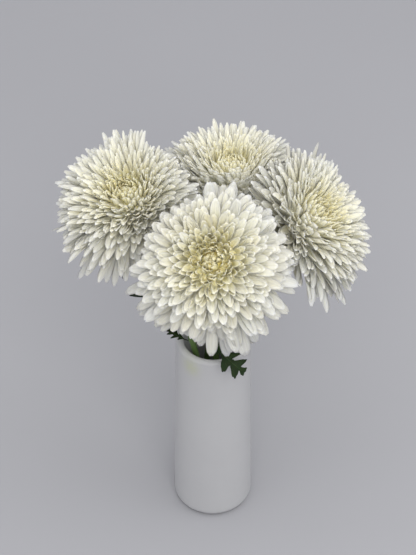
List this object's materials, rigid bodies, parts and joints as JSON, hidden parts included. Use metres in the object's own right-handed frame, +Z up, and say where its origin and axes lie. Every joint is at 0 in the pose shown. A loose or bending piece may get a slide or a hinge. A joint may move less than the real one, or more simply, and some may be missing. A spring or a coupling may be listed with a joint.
{
  "type": "cut chrysanthemums in a jar",
  "caption": "Large white double chrysanthemum blooms on green stems, standing in a tall plain matt ceramic jar with a soft lip.",
  "frame": {"origin": "centre of the jar's flat underside", "axes": "+Z up along the jar; -Y is the side the largest bloom faces"},
  "size_m": [0.2517, 0.2203, 0.3365],
  "materials": {
    "jar": "matt off-white glaze",
    "stem": "fresh green stem, lightly ribbed",
    "calyx": "green bracts",
    "petals_outer": "soft white florets",
    "petals_middle": "soft ivory florets",
    "petals_upper": "soft cream florets",
    "petals_inner": "soft yellow-cream florets",
    "heart": "soft yellow young florets",
    "leaf": "dark green leaf"
  },
  "bodies": {
    "root": {"jar": "jar", "stem_front": "stem", "calyx_front": "calyx", "petals_outer_front": "petals_outer", "petals_middle_front": "petals_middle", "petals_upper_front": "petals_upper", "petals_inner_front": "petals_inner", "heart_front": "heart", "stem_left": "stem", "calyx_left": "calyx", "petals_outer_left": "petals_outer", "petals_middle_left": "petals_middle", "petals_upper_left": "petals_upper", "petals_inner_left": "petals_inner", "heart_left": "heart", "stem_right": "stem", "calyx_right": "calyx", "petals_outer_right": "petals_outer", "petals_middle_right": "petals_middle", "petals_upper_right": "petals_upper", "petals_inner_right": "petals_inner", "heart_right": "heart", "stem_back": "stem", "calyx_back": "calyx", "petals_outer_back": "petals_outer", "petals_middle_back": "petals_middle", "petals_upper_back": "petals_upper", "petals_inner_back": "petals_inner", "heart_back": "heart", "leaf_rim": "leaf", "leaf_low_left": "leaf", "leaf_gap_left": "leaf", "leaf_mouth_left": "leaf", "leaf_mouth_right": "leaf", "leaf_back": "leaf", "leaf_right_back": "leaf", "leaf_left_back": "leaf"}
  },
  "joints": []
}
